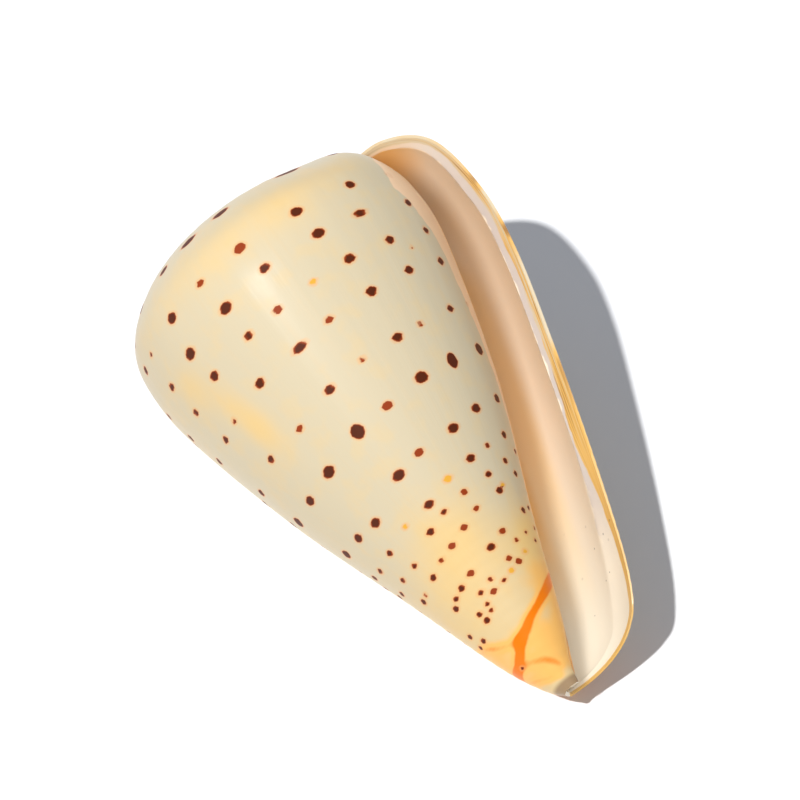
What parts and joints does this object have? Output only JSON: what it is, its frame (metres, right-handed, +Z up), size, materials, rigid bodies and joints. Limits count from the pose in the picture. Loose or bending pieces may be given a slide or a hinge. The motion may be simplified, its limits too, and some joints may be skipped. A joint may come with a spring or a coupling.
{
  "type": "cone shell",
  "caption": "Glossy cream cone shell with rows of dark red-brown spots and a long narrow opening, lying on its back.",
  "frame": {"origin": "centre of the shell's box in plan, on the surface that it rests on", "axes": "+Z up; +X towards the narrow end, which dips as the shell lies; +Y towards the lip, so the opening faces up and to +Y"},
  "size_m": [0.0954, 0.0606, 0.0563],
  "materials": {
    "shell": "smooth polished shell, cream with dark red-brown spots"
  },
  "bodies": {
    "root": {"cone_shell": "shell"}
  },
  "joints": []
}
